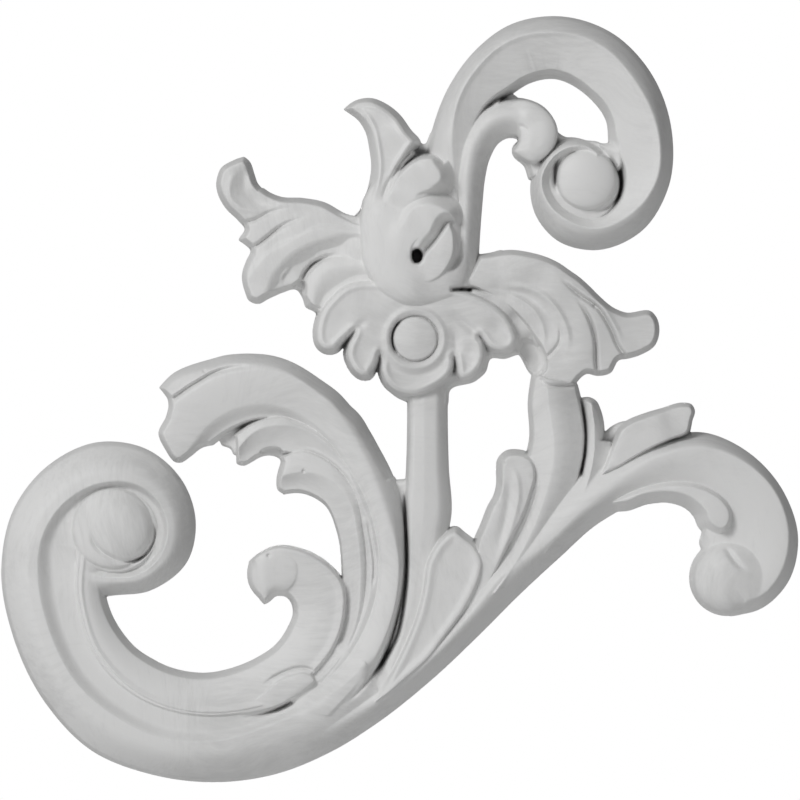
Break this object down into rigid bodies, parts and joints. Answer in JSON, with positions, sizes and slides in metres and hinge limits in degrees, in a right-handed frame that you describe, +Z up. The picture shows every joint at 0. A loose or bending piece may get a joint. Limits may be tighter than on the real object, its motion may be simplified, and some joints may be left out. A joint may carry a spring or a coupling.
{
  "type": "scroll onlay",
  "caption": "Carved acanthus scroll onlay cast in one piece: a C scroll, a flower on a stem, leaves and volutes in relief on a flat back, for gluing to a surface",
  "frame": {"origin": "on the flat back, straight behind the middle of the rosette's button", "axes": "+X to the right and +Z up as the onlay hangs, seen from the front; +Y out of the flat back, so the carving faces -Y"},
  "size_m": [0.216, 0.0183, 0.2079],
  "materials": {
    "primed_resin": "white primer on cast urethane resin, matt, with fine brushed and tooled streaks"
  },
  "bodies": {
    "root": {"scroll_onlay": "primed_resin"}
  },
  "joints": []
}
